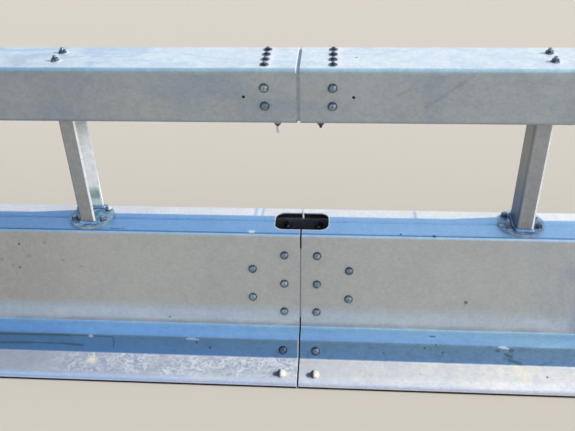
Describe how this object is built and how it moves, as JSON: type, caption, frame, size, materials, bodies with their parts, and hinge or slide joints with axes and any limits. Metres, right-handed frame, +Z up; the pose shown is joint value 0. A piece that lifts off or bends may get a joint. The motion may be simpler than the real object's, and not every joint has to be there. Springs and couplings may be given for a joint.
{
  "type": "free-standing steel highway barrier section",
  "caption": "Free-standing galvanised steel road barrier: a hollow stepped body on two feet, with a box rail on short posts above it and a bolted joint between elements.",
  "frame": {"origin": "on the ground, midway along and across the barrier, under the joint of its two elements", "axes": "+X along the barrier, +Y across it towards the rear face, +Z up"},
  "size_m": [7.995, 0.7, 0.9],
  "materials": {
    "shell_zinc": "hot-dip galvanised steel, matt, with a faint mottle",
    "rail_zinc": "hot-dip galvanised steel, matt, with a faint mottle",
    "joint_zinc": "hot-dip galvanised steel, matt, with a faint mottle",
    "post_zinc": "hot-dip galvanised steel, matt, with a faint mottle",
    "plate_zinc": "hot-dip galvanised steel, matt, with a faint mottle"
  },
  "bodies": {
    "root": {"left_front_shell": "shell_zinc", "left_rear_shell": "shell_zinc", "right_front_shell": "shell_zinc", "right_rear_shell": "shell_zinc", "front_joint_plate": "joint_zinc", "rear_joint_plate": "joint_zinc", "front_joint_strap": "joint_zinc", "rear_joint_strap": "joint_zinc", "left_rail": "rail_zinc", "right_rail": "rail_zinc", "rail_sleeve": "joint_zinc", "post_1": "post_zinc", "post_2": "post_zinc", "post_3": "post_zinc", "post_4": "post_zinc", "post_5": "post_zinc", "post_6": "post_zinc", "base_plate_1": "plate_zinc", "base_plate_2": "plate_zinc", "base_plate_3": "plate_zinc", "base_plate_4": "plate_zinc", "base_plate_5": "plate_zinc", "base_plate_6": "plate_zinc", "head_plate_1": "plate_zinc", "head_plate_2": "plate_zinc", "head_plate_3": "plate_zinc", "head_plate_4": "plate_zinc", "head_plate_5": "plate_zinc", "head_plate_6": "plate_zinc"}
  },
  "joints": []
}
